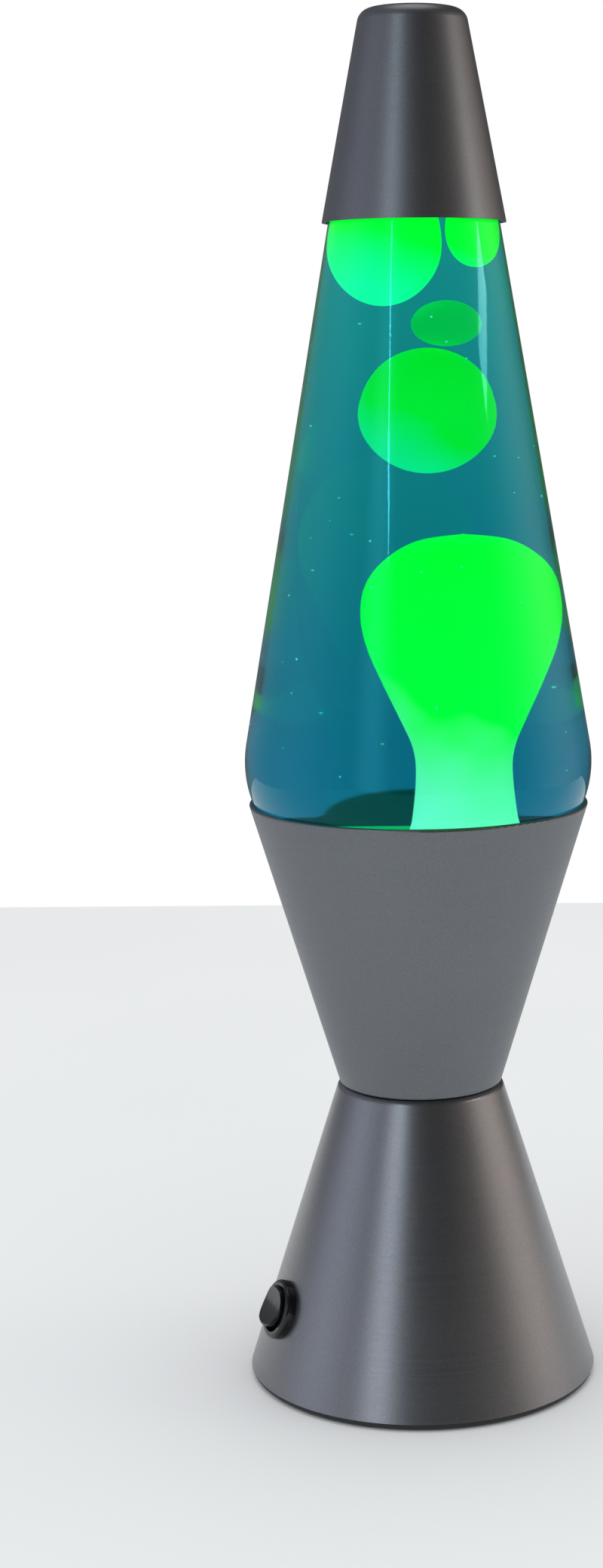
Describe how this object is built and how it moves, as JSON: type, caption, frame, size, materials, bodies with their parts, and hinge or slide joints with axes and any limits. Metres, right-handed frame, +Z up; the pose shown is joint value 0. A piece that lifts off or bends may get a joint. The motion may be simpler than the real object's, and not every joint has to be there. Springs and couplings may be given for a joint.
{
  "type": "lava lamp",
  "caption": "Motion lamp: spun metal cone base and cup, lift-out bottle of tinted liquid with wax shapes, lift-off metal cap, reflector bulb and rocker switch.",
  "frame": {"origin": "centre of the footprint, at the height of the table", "axes": "+Z up along the lamp's axis, -Y towards the front"},
  "size_m": [0.095, 0.0951, 0.365],
  "materials": {
    "satin_metal": "satin brushed",
    "satin_metal_cup": "satin brushed",
    "satin_metal_cap": "satin brushed",
    "black_moulding": "fine texture",
    "rubber_pad": "matte",
    "screw_steel": "zinc plated",
    "black_nylon": "moulded",
    "black_gloss": "gloss",
    "brass_parts": "plain",
    "white_nylon": "moulded",
    "brown_insulation": "extruded",
    "blue_insulation": "extruded",
    "holder_moulding": "moulded phenolic",
    "bulb_glass": "frosted front, silvered back",
    "bulb_cap_metal": "rolled thread",
    "black_glass": "gloss",
    "solder": "dull",
    "stem_glass": "clear",
    "filament_wire": "plain",
    "bottle_glass": "clear",
    "teal_liquid": "clear tinted",
    "green_wax": "glossy wax",
    "crown_metal": "tinplate",
    "liner": "matte",
    "foam_ring": "foam"
  },
  "bodies": {
    "stand": {"base_cone": "satin_metal", "cup": "satin_metal_cup", "bottom_cover": "black_moulding", "foot_pads": "rubber_pad", "screw_ring": "black_moulding", "cover_screws": "screw_steel", "cord_grommet": "black_nylon", "switch_housing": "black_gloss", "switch_terminals": "brass_parts", "terminal_block": "white_nylon", "terminal_inserts": "brass_parts", "wire_live": "brown_insulation", "wire_switched": "brown_insulation", "wire_neutral": "blue_insulation", "lampholder_body": "holder_moulding", "lampholder_dome": "holder_moulding", "lampholder_shell": "brass_parts", "lampholder_terminals": "brass_parts", "clamp_ring_lower": "holder_moulding", "clamp_ring_upper": "holder_moulding"},
    "rocker": {"switch_rocker": "black_gloss"},
    "contact": {"lampholder_contact": "brass_parts"},
    "bulb": {"bulb_envelope": "bulb_glass", "bulb_shell": "bulb_cap_metal", "bulb_insulator": "black_glass", "bulb_tip": "solder", "bulb_stem": "stem_glass", "bulb_filament": "filament_wire"},
    "bottle": {"glass_bottle": "bottle_glass", "liquid": "teal_liquid", "wax_column": "green_wax", "wax_ball": "green_wax", "wax_bead": "green_wax", "wax_upper_left": "green_wax", "wax_upper_right": "green_wax", "heating_coil": "screw_steel", "crown_cap": "crown_metal", "crown_liner": "liner"},
    "cap": {"cap": "satin_metal_cap", "cap_ring": "foam_ring"}
  },
  "joints": [
    {"name": "cap_lift", "type": "slide", "parent": "bottle", "child": "cap", "axis": [0, 0, 1], "range_m": [0, 0.06]},
    {"name": "bottle_lift", "type": "slide", "parent": "stand", "child": "bottle", "axis": [0, 0, 1], "range_m": [0, 0.05]},
    {"name": "bulb_rise", "type": "slide", "parent": "stand", "child": "contact", "axis": [0, 0, 1], "range_m": [0, 0.00142]},
    {"name": "bulb_unscrew", "type": "hinge", "parent": "contact", "child": "bulb", "pos_m": [0, 0, 0.09], "axis": [0, 0, 1], "range_deg": [0, 180]},
    {"name": "switch_rock", "type": "hinge", "parent": "stand", "child": "rocker", "pos_m": [-0.03702, -0.01496, 0.02138], "axis": [0.3746, -0.9272, 0], "range_deg": [0, 16]}
  ],
  "couplings": [
    {"joint": "bulb_rise", "follows": "bulb_unscrew", "m_per_rad": 0.00044882}
  ]
}
